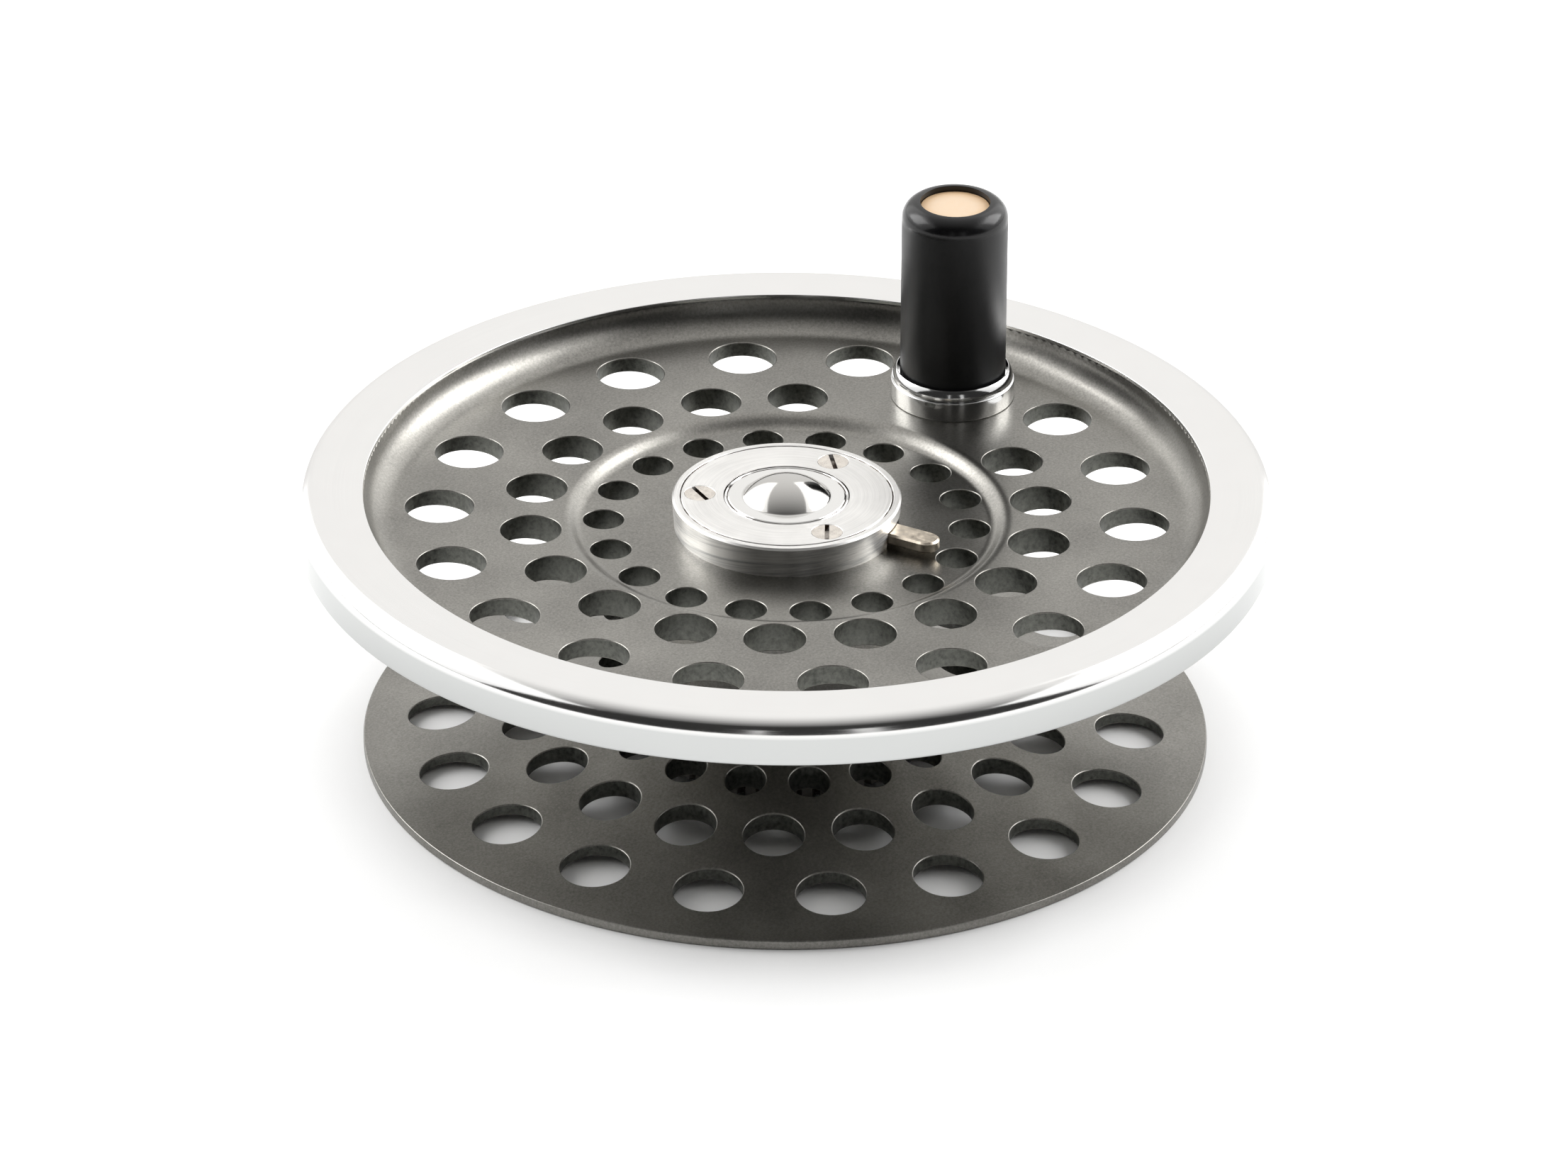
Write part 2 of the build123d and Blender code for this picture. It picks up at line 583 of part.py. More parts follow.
# ------------------------------------------------------------- handle
with BuildPart() as handle_collar:
    with BuildSketch(handle_plane):
        with BuildLine():
            Polyline(
                (TENON_R, 0),
                (COLLAR_R - EDGE_BREAK, 0),
                (COLLAR_R, EDGE_BREAK),
                (COLLAR_R, COLLAR_STEP_H - EDGE_BREAK),
                (COLLAR_GROOVE_R, COLLAR_STEP_H),
                (COLLAR_STEP_R, COLLAR_STEP_H + EDGE_BREAK),
            )
            TangentArc(
                (COLLAR_STEP_R, COLLAR_STEP_H + EDGE_BREAK),
                (COLLAR_INNER_R + COLLAR_LIP, COLLAR_H),
                tangent=(0, 1),
            )
            Polyline(
                (COLLAR_INNER_R + COLLAR_LIP, COLLAR_H),
                (COLLAR_INNER_R, COLLAR_H),
                (COLLAR_INNER_R, COLLAR_FLOOR),
                (TENON_R, COLLAR_FLOOR),
                (TENON_R, 0),
            )
        make_face()
    revolve(axis=handle_axis)
save(handle_collar.part, "handle_collar")

# Fixed post: riveted over on the line side of the flange, shoulder on the collar's floor.
with BuildPart() as handle_post:
    with BuildSketch(handle_plane):
        with BuildLine():
            Polyline(
                (0, -RIVET_DEPTH),
                (RIVET_R, -RIVET_DEPTH),
                (TENON_R, RIVET_NECK),
                (TENON_R, COLLAR_FLOOR),
                (SHOULDER_R, COLLAR_FLOOR),
                (SHOULDER_R, SHOULDER_TOP),
                (POST_R, SHOULDER_TOP),
                (POST_R, POST_TOP - EDGE_BREAK),
                (POST_R - EDGE_BREAK, POST_TOP),
                (GRIP_SCREW_R, POST_TOP),
                (GRIP_SCREW_R, POST_TOP - GRIP_SCREW_LENGTH),
                (0, POST_TOP - GRIP_SCREW_LENGTH),
                (0, -RIVET_DEPTH),
            )
        make_face()
    revolve(axis=handle_axis)
save(handle_post.part, "handle_post")

liner_top = POST_TOP - RUN
handle_xy = (HANDLE_X, 0)
save_ring(
    "thrust_washer", handle_xy, THRUST_WASHER_R, POST_R + RUN, FACE_Z + SHOULDER_TOP, WASHER_THICK
)
save_ring("grip_liner", handle_xy, LINER_R, POST_R + RUN, FACE_Z + GRIP_FOOT, liner_top - GRIP_FOOT)

heel_inset = GRIP_HEEL * (1 - sin(radians(45)))
heel_mid = (GRIP_R - heel_inset, GRIP_FOOT + heel_inset)
with BuildPart() as handle_grip:
    with BuildSketch(handle_plane):
        with BuildLine():
            Polyline(
                (GRIP_R - GRIP_SHOULDER, GRIP_TOP),
                (GRIP_MOUTH_R, GRIP_TOP),
                (GRIP_MOUTH_R, liner_top),
                (LINER_R, liner_top),
                (LINER_R, GRIP_FOOT),
                (GRIP_R - GRIP_HEEL, GRIP_FOOT),
            )
            ThreePointArc(
                (GRIP_R - GRIP_HEEL, GRIP_FOOT),
                heel_mid,
                (GRIP_R, GRIP_FOOT + GRIP_HEEL),
            )
            Line((GRIP_R, GRIP_FOOT + GRIP_HEEL), (GRIP_R, GRIP_TOP - GRIP_SHOULDER))
            ThreePointArc(
                (GRIP_R, GRIP_TOP - GRIP_SHOULDER),
                corner_mid(GRIP_R, GRIP_TOP, GRIP_SHOULDER),
                (GRIP_R - GRIP_SHOULDER, GRIP_TOP),
            )
        make_face()
    revolve(axis=handle_axis)
save(handle_grip.part, "handle_grip")

with BuildPart() as grip_plug:
    with BuildSketch(Plane.XY.offset(FACE_Z + GRIP_TOP - PLUG_RECESS - PLUG_THICK)):
        with Locations(handle_xy):
            Circle(GRIP_MOUTH_R - PLUG_GAP)
    extrude(amount=PLUG_THICK)
    chamfer(grip_plug.edges().group_by(Axis.Z)[-1], PLUG_BEVEL)
save(grip_plug.part, "grip_plug")

save_ring(
    "grip_washer", handle_xy, GRIP_WASHER_R, GRIP_SCREW_R, FACE_Z + POST_TOP, WASHER_THICK
)

grip_head_z = FACE_Z + POST_TOP + WASHER_THICK
with BuildPart() as grip_screw:
    with BuildSketch(Plane.XY.offset(grip_head_z)):
        with Locations(handle_xy):
            Circle(GRIP_SCREW_HEAD_R)
    extrude(amount=GRIP_SCREW_HEAD)
    with BuildSketch(Plane.XY.offset(grip_head_z + GRIP_SCREW_HEAD)):
        with Locations(handle_xy):
            Rectangle(3 * GRIP_SCREW_HEAD_R, SLOT_WIDTH)
    extrude(amount=-SLOT_DEPTH, mode=Mode.SUBTRACT)
    with BuildSketch(Plane.XY.offset(grip_head_z)):
        with Locations(handle_xy):
            Circle(GRIP_SCREW_R - PLUG_GAP)
    extrude(amount=-GRIP_SCREW_LENGTH)
save(grip_screw.part, "grip_screw")
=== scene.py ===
"""Fly reel spool: looks, fine meshes, floor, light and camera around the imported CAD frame.

Metres, in the CAD's own frame: +Z along the spool's axis, the handle on +X.  The turned
pieces are drawn as (radius, height above the plate's face) in millimetres, as on a lathe.
"""

import math

import bmesh
import bpy
import numpy as np
from mathutils import Matrix, Vector
from mathutils.geometry import delaunay_2d_cdt


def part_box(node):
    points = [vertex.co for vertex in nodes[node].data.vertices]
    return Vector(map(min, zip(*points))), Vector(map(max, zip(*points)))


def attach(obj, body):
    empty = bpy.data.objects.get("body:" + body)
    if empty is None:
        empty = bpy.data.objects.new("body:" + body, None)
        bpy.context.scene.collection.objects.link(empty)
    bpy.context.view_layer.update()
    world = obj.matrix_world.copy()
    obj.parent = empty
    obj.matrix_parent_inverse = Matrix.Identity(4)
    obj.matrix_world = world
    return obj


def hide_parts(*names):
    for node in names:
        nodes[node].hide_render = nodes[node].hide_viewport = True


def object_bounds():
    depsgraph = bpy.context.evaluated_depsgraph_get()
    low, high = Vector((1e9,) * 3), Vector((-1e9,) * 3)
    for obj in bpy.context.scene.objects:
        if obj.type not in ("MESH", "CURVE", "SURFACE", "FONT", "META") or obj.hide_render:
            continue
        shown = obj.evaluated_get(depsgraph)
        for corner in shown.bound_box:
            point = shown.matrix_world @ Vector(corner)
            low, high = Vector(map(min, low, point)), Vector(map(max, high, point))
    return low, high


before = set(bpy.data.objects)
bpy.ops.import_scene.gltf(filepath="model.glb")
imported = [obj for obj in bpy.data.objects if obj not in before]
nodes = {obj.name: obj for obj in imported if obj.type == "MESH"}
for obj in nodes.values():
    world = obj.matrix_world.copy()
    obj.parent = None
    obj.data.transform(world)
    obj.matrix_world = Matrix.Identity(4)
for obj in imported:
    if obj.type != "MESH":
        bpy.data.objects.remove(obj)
cad_low, cad_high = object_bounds()
MM = 0.001

# ------------------------------------------------------------------ sizes read from the frame, mm
FACE_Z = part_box("handle_collar")[0].z / MM
HANDLE_X = (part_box("handle_grip")[0].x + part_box("handle_grip")[1].x) / 2 / MM
RIM_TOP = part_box("rim_ring")[1].z / MM - FACE_Z
RIM_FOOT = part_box("rim_ring")[0].z / MM - FACE_Z
GRIP_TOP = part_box("handle_grip")[1].z / MM - FACE_Z
GRIP_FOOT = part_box("handle_grip")[0].z / MM - FACE_Z
COLLAR_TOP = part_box("handle_collar")[1].z / MM - FACE_Z
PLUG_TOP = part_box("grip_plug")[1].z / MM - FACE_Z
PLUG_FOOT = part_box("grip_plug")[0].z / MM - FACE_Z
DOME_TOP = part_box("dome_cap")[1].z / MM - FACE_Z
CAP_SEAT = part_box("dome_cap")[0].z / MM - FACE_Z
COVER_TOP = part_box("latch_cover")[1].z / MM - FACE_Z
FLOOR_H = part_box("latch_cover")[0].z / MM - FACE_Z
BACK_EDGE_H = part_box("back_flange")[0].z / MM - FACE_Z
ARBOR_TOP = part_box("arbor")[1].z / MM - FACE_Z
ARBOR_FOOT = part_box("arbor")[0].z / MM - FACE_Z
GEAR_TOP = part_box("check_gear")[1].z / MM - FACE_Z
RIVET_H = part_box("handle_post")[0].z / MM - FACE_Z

# turned sizes that the boxes don't show, mm
RIM_R, RIM_INNER_R, RIM_SEAT_R, RIM_ROUND = 46.0, 39.8, 41.0, 1.6
RIM_LIP = 0.35
SKIRT_R = 44.5
SWEEP_FOOT_R = RIM_INNER_R - RIM_TOP
RIM_FOOT_ROUND = 0.3
RECESS_FOOT_R, RECESS_R = 19.5, 20.65
RECESS_FOOT_ROUND, RECESS_TOP_ROUND = 1.5, 1.7
SLEEVE_R, ARBOR_R, GEAR_SEAT_R = 5.0, 12.0, 14.8
BACK_R, BACK_LAND_R, BACK_EDGE = 40.15, 38.9, 0.93
# a point half-way along each dished face: front plate's line side, back plate's line side and underside
FRONT_LINE_SIDE, BACK_LINE_SIDE, BACK_UNDERSIDE = (26.0, -2.35), (26.1, -21.2), (26.0, -22.62)
RIVET_R, RIVET_GAP = 3.0, 0.02

COLLAR_R, COLLAR_BORE_R, COLLAR_INNER_R = 5.96, 2.4, 5.36
COLLAR_FLOOR, COLLAR_STEP_H = 0.9, 1.95
COLLAR_GROOVE_R, COLLAR_STEP_R, COLLAR_LIP_R = 5.78, 5.82, 5.44
GRIP_R, GRIP_HEEL, GRIP_SHOULDER = 5.085, 0.5, 1.65
GRIP_MOUTH_R, GRIP_MOUTH_DEPTH, LINER_R = 3.35, 3.47, 2.9
PLUG_R, PLUG_ROUND = 3.33, 0.1
CAP_R, CAP_BORE_R, CAP_SUNK = 5.92, 3.7, 0.02
CAP_LINE_R, CAP_LINE_DEPTH, CAP_BEAD_IN_R, CAP_BEAD_OUT_R = 5.59, 0.1, 5.44, 5.77
DOME_R, DOME_FOOT_R, DOME_FOOT_ROUND = 4.1, 5.3, 0.3
DOME_BORE_R, DOME_BORE_RISE, DOME_SHELL = 2.6, 0.6, 0.7
HOLE_COUNT = 18
HOLE_STEP = 360 / HOLE_COUNT
# perforation rings: ring radius, hole radius, first angle, places the handle takes in the front flange
RINGS = ((32.75, 3.25, 0, (0,)), (24.2, 2.87, 10, (0, 17)), (17.26, 1.92, 0, ()))
HOLE_EDGE = 0.12

# mesh steps
TURN_STEPS = 256
SMALL_TURN_STEPS = 128
HOLE_STEPS = 56
CORNER_STEPS = 8
SHARP = math.radians(32)
RECESS_RINGS = (8.0, 12.0, 14.5, 16.0, 17.3, 18.6, 19.2)       # radii of extra points on the flat parts
FACE_RINGS = (21.0, 21.4, 24.2, 28.0, 32.7, 36.1, 36.5)
SLOPE_REACH = 0.04                      # a skin's slope is taken over this distance each way
POINT_GAP = 0.05                        # extra points keep this far from a hole's edge

# ------------------------------------------------------------------ camera and its own directions
VIEW_TURN = math.radians(-57.6)         # the picture's right-hand direction, about +Z from +X
ELEVATION = math.radians(28.435)
ROLL = math.radians(0.3536)
DISTANCE = 0.88856
LENS = 215.81                           # on a 36 mm wide sensor
AIM = Vector((-0.000105, 0.000166, cad_low.z + 0.01609))

RIGHT = Vector((math.cos(VIEW_TURN), math.sin(VIEW_TURN), 0))
AWAY = Vector((-math.sin(VIEW_TURN), math.cos(VIEW_TURN), 0))
UP = Vector((0, 0, 1))


def make_camera():
    data = bpy.data.cameras.new("camera")
    data.lens = LENS
    data.sensor_width = 36
    data.clip_start = 0.01
    data.clip_end = 20
    camera = bpy.data.objects.new("camera", data)
    bpy.context.scene.collection.objects.link(camera)
    forward = AWAY * math.cos(ELEVATION) - UP * math.sin(ELEVATION)
    level_up = AWAY * math.sin(ELEVATION) + UP * math.cos(ELEVATION)
    right = RIGHT * math.cos(ROLL) + level_up * math.sin(ROLL)
    up = level_up * math.cos(ROLL) - RIGHT * math.sin(ROLL)
    turn = Matrix((right, up, -forward)).transposed().to_4x4()
    camera.matrix_world = Matrix.Translation(AIM - forward * DISTANCE) @ turn
    bpy.context.scene.camera = camera


# ------------------------------------------------------------------ light and floor
def bearing(azimuth, elevation):
    """Unit direction from an azimuth, right of straight away from the camera, and an elevation."""
    a, e = math.radians(azimuth), math.radians(elevation)
    level = AWAY * math.cos(a) + RIGHT * math.sin(a)
    return level * math.cos(e) + UP * math.sin(e)


def softbox(name, azimuth, elevation, distance, size, radiance):
    """Rectangular soft light that faces the object and looks as bright as radiance."""
    data = bpy.data.lights.new(name, "AREA")
    data.shape = "RECTANGLE"
    data.size, data.size_y = size
    data.energy = radiance * math.pi * size[0] * size[1]
    lamp = bpy.data.objects.new(name, data)
    bpy.context.scene.collection.objects.link(lamp)
    place = bearing(azimuth, elevation) * distance
    lamp.location = place
    lamp.rotation_mode = "QUATERNION"
    lamp.rotation_quaternion = (-place).to_track_quat("-Z", "Y")
    lamp.visible_camera = False


def make_room():
    """Soft room: pale behind the object, dim on the camera's side."""
    world = bpy.data.worlds.new("room")
    world.use_nodes = True
    tree = world.node_tree
    place = tree.nodes.new("ShaderNodeTexCoord")
    toward = tree.nodes.new("ShaderNodeVectorMath")
    toward.operation = "DOT_PRODUCT"
    toward.inputs[1].default_value = bearing(0, 30)
    tree.links.new(place.outputs["Generated"], toward.inputs[0])
    share = tree.nodes.new("ShaderNodeMapRange")
    share.inputs["From Min"].default_value = -0.12
    share.inputs["From Max"].default_value = 1.0
    share.inputs["To Min"].default_value = 0.035
    share.inputs["To Max"].default_value = 1.06
    tree.links.new(toward.outputs["Value"], share.inputs["Value"])
    tree.links.new(share.outputs["Result"], tree.nodes["Background"].inputs["Strength"])
    tree.nodes["Background"].inputs["Color"].default_value = (1, 0.99, 0.975, 1)
    bpy.context.scene.world = world


def floor_paper():
    """Pale paper that glows a little outside the spool's footprint: painted light that lifts the floor round
    the spool, while the floor under it keeps its shade.
    """
    paper = bpy.data.materials.new("floor")
    paper.use_nodes = True
    tree = paper.node_tree
    shader = tree.nodes["Principled BSDF"]
    shader.inputs["Base Color"].default_value = (0.9, 0.9, 0.9, 1)
    shader.inputs["Roughness"].default_value = 0.9
    shader.inputs["Emission Color"].default_value = (1, 1, 1, 1)
    place = tree.nodes.new("ShaderNodeTexCoord")
    from_axis = tree.nodes.new("ShaderNodeVectorMath")
    from_axis.operation = "LENGTH"
    # painted light: the floor glows outside the spool's footprint, rising from 39 mm to 47 mm off the axis
    painted_glow = tree.nodes.new("ShaderNodeMapRange")
    painted_glow.inputs["From Min"].default_value = 0.039
    painted_glow.inputs["From Max"].default_value = 0.047
    painted_glow.inputs["To Max"].default_value = 0.18
    tree.links.new(place.outputs["Object"], from_axis.inputs[0])
    tree.links.new(from_axis.outputs["Value"], painted_glow.inputs["Value"])
    tree.links.new(painted_glow.outputs["Result"], shader.inputs["Emission Strength"])
    return paper


def make_floor():
    mesh = bpy.data.meshes.new("floor")
    work = bmesh.new()
    bmesh.ops.create_grid(work, x_segments=8, y_segments=8, size=6)
    work.to_mesh(mesh)
    work.free()
    floor = bpy.data.objects.new("floor", mesh)
    floor.location.z = cad_low.z
    bpy.context.scene.collection.objects.link(floor)
    mesh.materials.append(floor_paper())


def make_stage():
    make_room()
    make_floor()
    for side, azimuth in (("left", -71), ("right", 68)):
        softbox(side + "_box", azimuth, elevation=31, distance=1.3, size=(2.35, 1.4), radiance=1.1)
        softbox(side + "_lamp", azimuth, elevation=34, distance=1.28, size=(0.8, 0.8), radiance=4.8)
    for side, azimuth, width in (("right", 162, 0.13), ("left", -174, 0.06)):
        softbox(side + "_strip", azimuth, elevation=14, distance=1.3, size=(width, 0.8), radiance=0.8)


# ------------------------------------------------------------------ materials
# painted shade: colour laid in slots, grooves and screw holes
SLOT_SHADE = (0.03, 0.017, 0.010)
GRAIN_SIZE = 0.06                       # mm, grain of the cover's face


class Look:
    """A procedural material. Positions are the piece's own, in millimetres."""

    def __init__(self, name, colour, metallic, rough, specular=0.5):
        self.made = bpy.data.materials.new(name)
        self.made.use_nodes = True
        self.tree = self.made.node_tree
        self.shader = self.tree.nodes["Principled BSDF"]
        self.colour = colour
        self.shader.inputs["Base Color"].default_value = (*colour, 1)
        self.shader.inputs["Metallic"].default_value = metallic
        self.shader.inputs["Roughness"].default_value = rough
        self.shader.inputs["Specular IOR Level"].default_value = specular
        place = self.tree.nodes.new("ShaderNodeTexCoord")
        scaled = self.node("ShaderNodeVectorMath", operation="SCALE")
        scaled.inputs["Scale"].default_value = 1 / MM
        self.link(place.outputs["Object"], scaled.inputs[0])
        self.place = scaled.outputs["Vector"]
        self.bumps = None

    def node(self, kind, **settings):
        made = self.tree.nodes.new(kind)
        for key, value in settings.items():
            setattr(made, key, value)
        return made

    def link(self, a, b):
        self.tree.links.new(a, b)

    def math(self, operation, a, b=None):
        made = self.node("ShaderNodeMath", operation=operation)
        for socket, value in zip(made.inputs, (a, b)):
            if isinstance(value, (int, float)):
                socket.default_value = value
            elif value is not None:
                self.link(value, socket)
        return made.outputs[0]

    def noise(self, size, detail=3.0, place=None, rough=0.5):
        """Cloudy noise whose lumps are about size mm, from 0 to 1."""
        made = self.node("ShaderNodeTexNoise")
        made.inputs["Scale"].default_value = 1 / size
        made.inputs["Detail"].default_value = detail
        made.inputs["Roughness"].default_value = rough
        self.link(place or self.place, made.inputs["Vector"])
        return made.outputs["Fac"]

    def about_axis(self, centre_x=0.0):
        """x, y, distance from an upright axis, and z, all in mm."""
        parts = self.node("ShaderNodeSeparateXYZ")
        self.link(self.place, parts.inputs[0])
        x, y = self.math("SUBTRACT", parts.outputs["X"], centre_x), parts.outputs["Y"]
        squares = self.math("ADD", self.math("MULTIPLY", x, x), self.math("MULTIPLY", y, y))
        return x, y, self.math("SQRT", squares), parts.outputs["Z"]

    def height_and_radius(self):
        """Height over the plate's face and distance from the spool's axis, both in mm."""
        _, _, radius, z = self.about_axis()
        return self.math("SUBTRACT", z, FACE_Z), radius

    def turned_place(self, centre_x, along, across):
        """Coordinates stretched round an upright axis, so that noise becomes turning marks."""
        x, y, radius, z = self.about_axis(centre_x)
        angle = self.math("ARCTAN2", y, x)
        joined = self.node("ShaderNodeCombineXYZ")
        self.link(self.math("DIVIDE", radius, across), joined.inputs["X"])
        # the angle as a point on a circle, so that no seam shows where it starts again
        self.link(self.math("MULTIPLY", self.math("COSINE", angle), along), joined.inputs["Y"])
        upward = self.math("DIVIDE", z, across)
        side = self.math("MULTIPLY", self.math("SINE", angle), along)
        self.link(self.math("ADD", upward, side), joined.inputs["Z"])
        return joined.outputs["Vector"]

    def ranged(self, value, low, high, at_low=0.3, at_high=0.7):
        made = self.node("ShaderNodeMapRange")
        made.inputs["From Min"].default_value = at_low
        made.inputs["From Max"].default_value = at_high
        made.inputs["To Min"].default_value = low
        made.inputs["To Max"].default_value = high
        self.link(value, made.inputs["Value"])
        return made.outputs["Result"]

    def rough(self, value):
        self.link(value, self.shader.inputs["Roughness"])

    def tint(self, value, low, high):
        """Base colour that runs from low to high as value goes from 0.3 to 0.7."""
        made = self.node("ShaderNodeMix", data_type="RGBA")
        self.link(self.ranged(value, 0, 1), made.inputs["Factor"])
        made.inputs["A"].default_value = (*[c * low for c in self.colour], 1)
        made.inputs["B"].default_value = (*[c * high for c in self.colour], 1)
        self.link(made.outputs["Result"], self.shader.inputs["Base Color"])

    def lay_shade_and_marks(self, share, colour):
        """Lays a colour over the base colour where share is 1: painted shade, and dark turning marks."""
        made = self.node("ShaderNodeMix", data_type="RGBA")
        base = self.shader.inputs["Base Color"]
        self.link(base.links[0].from_socket, made.inputs["A"])
        made.inputs["B"].default_value = (*colour, 1)
        self.link(share, made.inputs["Factor"])
        self.link(made.outputs["Result"], base)

    def shade_below(self, height, inside):
        """Painted shade in slots and grooves: darker below a height and inside a radius, in patches."""
        h, radius = self.height_and_radius()
        low = self.ranged(h, 1, 0, height - 0.025, height)
        near = self.ranged(radius, 1, 0, inside - 0.05, inside + 0.05)
        patchy = self.ranged(self.noise(1.6, 3), 0.55, 1, 0.4, 0.52)
        self.lay_shade_and_marks(self.math("MULTIPLY", self.math("MULTIPLY", low, near), patchy), SLOT_SHADE)

    def brushed(self, amount, face_height):
        """Reflections drawn out across the turning marks, but evenly grained on the face."""
        tangent = self.node("ShaderNodeTangent", direction_type="RADIAL", axis="Z")
        grain = self.node("ShaderNodeTexNoise")
        grain.inputs["Scale"].default_value = 1 / GRAIN_SIZE
        self.link(self.place, grain.inputs["Vector"])
        loose = self.node("ShaderNodeVectorMath", operation="SUBTRACT")
        self.link(grain.outputs["Color"], loose.inputs[0])
        loose.inputs[1].default_value = (0.5, 0.5, 0.5)
        height, _ = self.height_and_radius()
        chosen = self.node("ShaderNodeMix", data_type="VECTOR")
        self.link(self.ranged(height, 0, 1, face_height - 0.05, face_height - 0.02), chosen.inputs["Factor"])
        self.link(tangent.outputs["Tangent"], chosen.inputs["A"])
        self.link(loose.outputs["Vector"], chosen.inputs["B"])
        self.link(chosen.outputs["Result"], self.shader.inputs["Tangent"])
        self.shader.inputs["Anisotropic"].default_value = amount
        self.shader.inputs["Anisotropic Rotation"].default_value = 0.25

    def bump(self, value, depth, strength=1.0):
        """Relief of about depth mm from a value, on top of any relief so far."""
        made = self.node("ShaderNodeBump")
        made.inputs["Distance"].default_value = depth * MM
        made.inputs["Strength"].default_value = strength
        self.link(value, made.inputs["Height"])
        if self.bumps:
            self.link(self.bumps, made.inputs["Normal"])
        self.bumps = made.outputs["Normal"]
        self.link(self.bumps, self.shader.inputs["Normal"])


def anodised():
    """Warm grey anodised plate with a fine grain."""
    look = Look("anodised", (0.245, 0.238, 0.220), 1.0, 0.25)
    grain = look.noise(0.24, 4, rough=0.75)
    cloud = look.noise(9, 3)
    mixed = look.math("ADD", look.math("MULTIPLY", grain, 0.65), look.math("MULTIPLY", cloud, 0.35))
    look.tint(mixed, 0.6, 1.42)
    look.rough(look.ranged(cloud, 0.28, 0.34))
    look.bump(grain, 0.006, 0.55)
    return look.made


def hole_wall():
    """Darker, mottled walls of the perforations."""
    look = Look("hole_wall", (0.125, 0.128, 0.115), 1.0, 0.5)
    mottle = look.noise(0.45, 5, rough=0.65)
    look.tint(mottle, 0.45, 1.55)
    look.rough(look.ranged(mottle, 0.38, 0.6))
    look.bump(mottle, 0.03, 0.6)
    return look.made


def aluminium(name, rough_low, rough_high, centre_x=0.0, marks=0.004, mark_width=0.09,
              colour=(0.84, 0.835, 0.825), darkest=0.965):
    """Bright turned aluminium: fine marks round the axis, a little uneven polish."""
    look = Look(name, colour, 1.0, rough_low)
    place = look.turned_place(centre_x, 1.3, mark_width)
    lines = look.noise(1.0, 3, place=place)
    cloud = look.noise(3.5, 4)
    mixed = look.math("ADD", look.math("MULTIPLY", lines, 0.6), look.math("MULTIPLY", cloud, 0.4))
    look.rough(look.ranged(mixed, rough_low, rough_high))
    look.tint(mixed, darkest, 1.0)
    look.bump(lines, marks, 0.5)
    return look


def rim_metal():
    """Bright rim whose upright wall is painted greyer than its top: painted shade."""
    look = aluminium("rim", 0.10, 0.17)
    height, _ = look.height_and_radius()
    wall = look.ranged(height, 1, 0, RIM_TOP - 1.7, RIM_TOP - 1.2)
    # painted shade: the upright wall is made greyer than the top
    look.lay_shade_and_marks(wall, (0.50, 0.51, 0.505))
    return look.made


def cover_metal():
    """Turned cover, brushed across its side, with dark streaks on its side that are turning marks and
    painted shade, and painted shade in its groove and screw holes.
    """
    look = aluminium("cover", 0.30, 0.42, marks=0.01, mark_width=0.14,
                     colour=(0.87, 0.86, 0.84), darkest=0.8)
    height, _ = look.height_and_radius()
    place = look.turned_place(0.0, 2.2, 0.42)
    # dark streaks on the side: turning marks, and painted shade that makes the side darker than the top
    streaks_and_shade = look.ranged(look.noise(1.0, 4, rough=0.7, place=place), 0, 1, 0.42, 0.68)
    side = look.ranged(height, 1, 0, COVER_TOP - 0.3, COVER_TOP - 0.15)
    look.lay_shade_and_marks(look.math("MULTIPLY", streaks_and_shade, side), (0.42, 0.425, 0.43))
    look.brushed(0.85, COVER_TOP)
    # painted shade in the groove and screw holes
    look.shade_below(COVER_TOP - 0.03, 10.3)
    return look.made


def cap_metal():
    """Polished cap: painted shade makes its dome darker than its flat and darkens the gap round it."""
    look = aluminium("dome", 0.07, 0.13, mark_width=0.06, colour=(0.82, 0.815, 0.80))
    _, radius = look.height_and_radius()
    # painted shade: the dome is made darker than the flat
    look.lay_shade_and_marks(look.ranged(radius, 1, 0, DOME_R - 0.1, DOME_R + 0.2), (0.57, 0.56, 0.54))
    # painted shade in the gap round the cap
    look.shade_below(COVER_TOP - 0.07, 7.0)
    return look.made


def collar_metal():
    colour = (0.66, 0.66, 0.655)
    return aluminium("collar", 0.08, 0.15, HANDLE_X, mark_width=0.06, colour=colour).made


def nickel(name, colour, rough, slots_below=None):
    """Blotchy plated or ground metal, with painted shade below a height if slots_below is given."""
    look = Look(name, colour, 1.0, rough)
    blotch = look.noise(0.7, 5, rough=0.6)
    look.tint(blotch, 0.8, 1.12)
    look.rough(look.ranged(blotch, rough * 0.75, rough * 1.35))
    look.bump(look.noise(0.12, 2), 0.004, 0.5)
    if slots_below:
        # painted shade in the screw slots
        look.shade_below(slots_below, RIM_R)
    return look.made


def black_grip():
    """Black resin, dull on its side and polished by the hand on its shoulder."""
    look = Look("black_grip", (0.0042, 0.0042, 0.0046), 0.0, 0.2, 0.36)
    grain = look.noise(0.14, 3)
    cloud = look.noise(2.5, 3)
    look.tint(cloud, 0.75, 1.3)
    height, _ = look.height_and_radius()
    polish = look.ranged(height, 0.2, 0.0, GRIP_TOP - 2.2, GRIP_TOP - 1.5)
    look.rough(look.math("ADD", look.ranged(cloud, 0.17, 0.24), polish))
    look.bump(grain, 0.012, 0.5)
    return look.made


